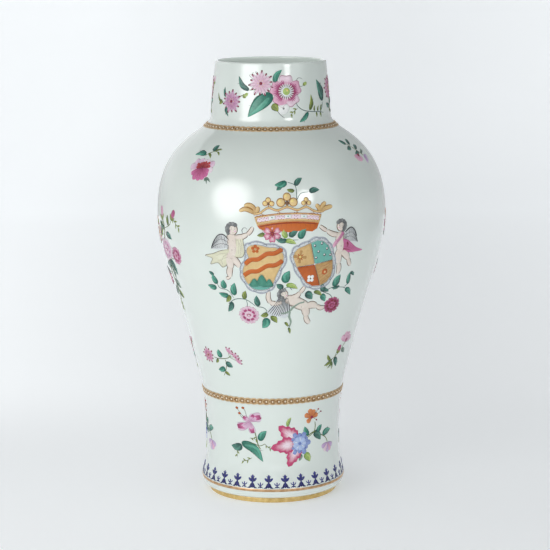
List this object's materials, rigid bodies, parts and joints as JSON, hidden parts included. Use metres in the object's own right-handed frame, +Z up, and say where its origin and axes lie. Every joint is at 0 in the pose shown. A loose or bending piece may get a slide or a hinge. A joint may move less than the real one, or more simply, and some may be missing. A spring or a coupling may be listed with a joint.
{
  "type": "porcelain vase",
  "caption": "Baluster porcelain vase with a waisted foot, ovoid belly, round shoulder and tapering neck, painted with flower sprays and trimmed with raised gilt bands.",
  "frame": {"origin": "centre of the foot ring's contact face, on the surface that the vase stands on", "axes": "+Z up along the axis of revolution; the painted front faces -Y; +X is to the viewer's right"},
  "size_m": [0.1884, 0.1884, 0.36],
  "materials": {
    "glazed_porcelain": "thick pale blue-white glaze, high gloss",
    "gilding": "burnished brown gold over raised enamel, satin"
  },
  "bodies": {
    "root": {"foot_ring": "glazed_porcelain", "floor_disc": "glazed_porcelain", "waisted_section": "glazed_porcelain", "belly": "glazed_porcelain", "shoulder": "glazed_porcelain", "neck": "glazed_porcelain", "neck_gilt_band": "gilding", "skirt_gilt_band": "gilding", "foot_gilt_line": "gilding", "foot_gilt_band": "gilding"}
  },
  "joints": []
}
